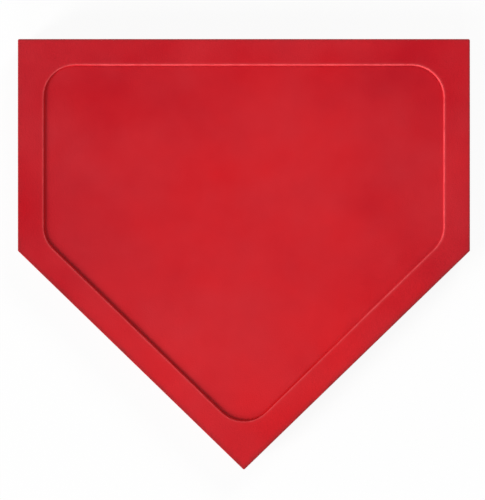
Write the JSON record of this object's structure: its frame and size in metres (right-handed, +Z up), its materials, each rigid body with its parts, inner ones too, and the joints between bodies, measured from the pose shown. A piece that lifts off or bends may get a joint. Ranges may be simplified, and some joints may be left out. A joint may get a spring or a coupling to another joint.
{
  "type": "home plate",
  "caption": "Five-sided baseball home plate: red moulded rubber cover with a sunk centre panel over a plywood core, closed below by a black waffle tread pad screwed up into the core.",
  "frame": {"origin": "on the ground, at the centre of the outline's bounding box", "axes": "+X across the plate along its front edge, +Y towards the straight front edge and away from the point, +Z up out of the playing face"},
  "size_m": [0.4318, 0.411, 0.0254],
  "materials": {
    "red_rubber": "satin",
    "plywood": "matte",
    "black_rubber": "matte",
    "zinc_plated_steel": "satin"
  },
  "bodies": {
    "root": {"rubber_cover": "red_rubber", "plywood_core": "plywood", "tread_pad": "black_rubber", "pad_washer_01": "zinc_plated_steel", "pad_washer_02": "zinc_plated_steel", "pad_washer_03": "zinc_plated_steel", "pad_washer_04": "zinc_plated_steel", "pad_washer_05": "zinc_plated_steel", "pad_washer_06": "zinc_plated_steel", "pad_washer_07": "zinc_plated_steel", "pad_washer_08": "zinc_plated_steel", "pad_washer_09": "zinc_plated_steel", "pad_washer_10": "zinc_plated_steel", "pad_washer_11": "zinc_plated_steel", "pad_washer_12": "zinc_plated_steel", "pad_washer_13": "zinc_plated_steel", "pad_washer_14": "zinc_plated_steel", "pad_screw_01": "zinc_plated_steel", "pad_screw_02": "zinc_plated_steel", "pad_screw_03": "zinc_plated_steel", "pad_screw_04": "zinc_plated_steel", "pad_screw_05": "zinc_plated_steel", "pad_screw_06": "zinc_plated_steel", "pad_screw_07": "zinc_plated_steel", "pad_screw_08": "zinc_plated_steel", "pad_screw_09": "zinc_plated_steel", "pad_screw_10": "zinc_plated_steel", "pad_screw_11": "zinc_plated_steel", "pad_screw_12": "zinc_plated_steel", "pad_screw_13": "zinc_plated_steel", "pad_screw_14": "zinc_plated_steel"}
  },
  "joints": []
}
